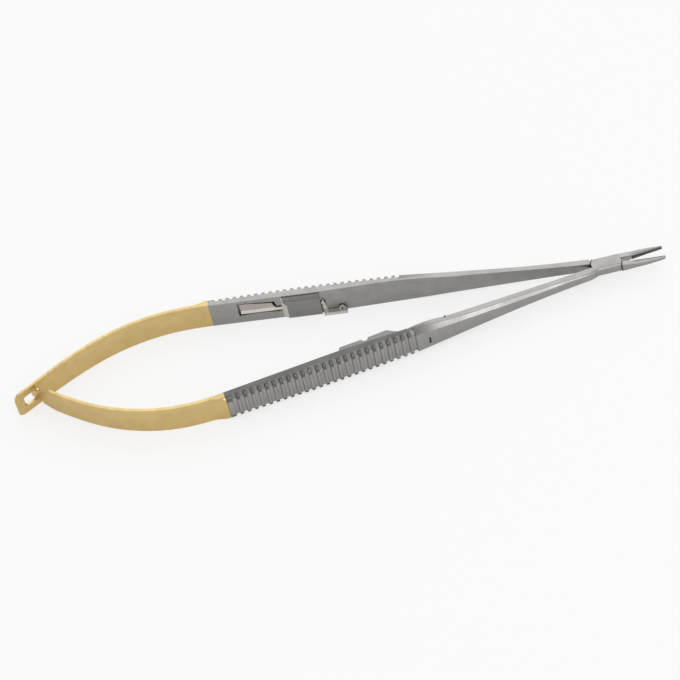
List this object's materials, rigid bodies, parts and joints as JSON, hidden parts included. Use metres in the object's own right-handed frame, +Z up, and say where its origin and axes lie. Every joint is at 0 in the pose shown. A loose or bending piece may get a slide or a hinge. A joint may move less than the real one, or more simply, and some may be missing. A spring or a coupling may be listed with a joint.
{
  "type": "surgical needle holder",
  "caption": "Spring-handled surgical needle holder: serrated grips, box lock joint, carbide-faced jaws, hooked gold leaf springs and a lock between the handles.",
  "frame": {"origin": "bottom centre of the box round the instrument as it lies open on its narrow edges", "axes": "+X from the tail to the jaw tips, +Y towards the handle of the far arm, +Z up from the table"},
  "size_m": [0.1808, 0.0402, 0.008],
  "materials": {
    "arm_steel": "satin stainless steel, fine brushed",
    "lock_steel": "satin stainless steel, slightly darker",
    "gold_plating": "satin gold plating on spring steel",
    "carbide": "dark matt carbide, finely cross-grooved"
  },
  "bodies": {
    "near_arm": {"near_arm": "arm_steel", "pivot_pin": "arm_steel", "near_arm_insert": "carbide", "catch_plate": "lock_steel", "catch_rivets": "lock_steel"},
    "far_arm": {"far_arm": "arm_steel", "far_arm_insert": "carbide", "lock_plate": "lock_steel"},
    "lock_bar": {"lock_bar": "lock_steel"},
    "slotted_leaf": {"slotted_leaf": "gold_plating"},
    "hooked_leaf": {"hooked_leaf": "gold_plating"}
  },
  "joints": [
    {"name": "box_lock", "type": "hinge", "parent": "near_arm", "child": "far_arm", "pos_m": [0.07354, 0, 0.004], "axis": [0, 0, 1], "range_deg": [0, 11.5], "stiffness_Nm_per_rad": 2},
    {"name": "slotted_leaf_flex", "type": "hinge", "parent": "far_arm", "child": "slotted_leaf", "pos_m": [-0.03363, 0.02009, 0.004], "axis": [0, 0, 1], "range_deg": [-21.66, 0]},
    {"name": "hooked_leaf_flex", "type": "hinge", "parent": "near_arm", "child": "hooked_leaf", "pos_m": [-0.03363, -0.02009, 0.004], "axis": [0, 0, 1], "range_deg": [0, 13.8]},
    {"name": "lock_bar_flex", "type": "hinge", "parent": "far_arm", "child": "lock_bar", "pos_m": [-0.02372, 0.01553, 0.0047], "axis": [-0.1564, -0.9877, 0], "range_deg": [0, 1.6], "stiffness_Nm_per_rad": 0.05}
  ],
  "couplings": [
    {"joint": "slotted_leaf_flex", "follows": "box_lock", "ratio": -1.866},
    {"joint": "hooked_leaf_flex", "follows": "box_lock", "ratio": 1.183}
  ]
}
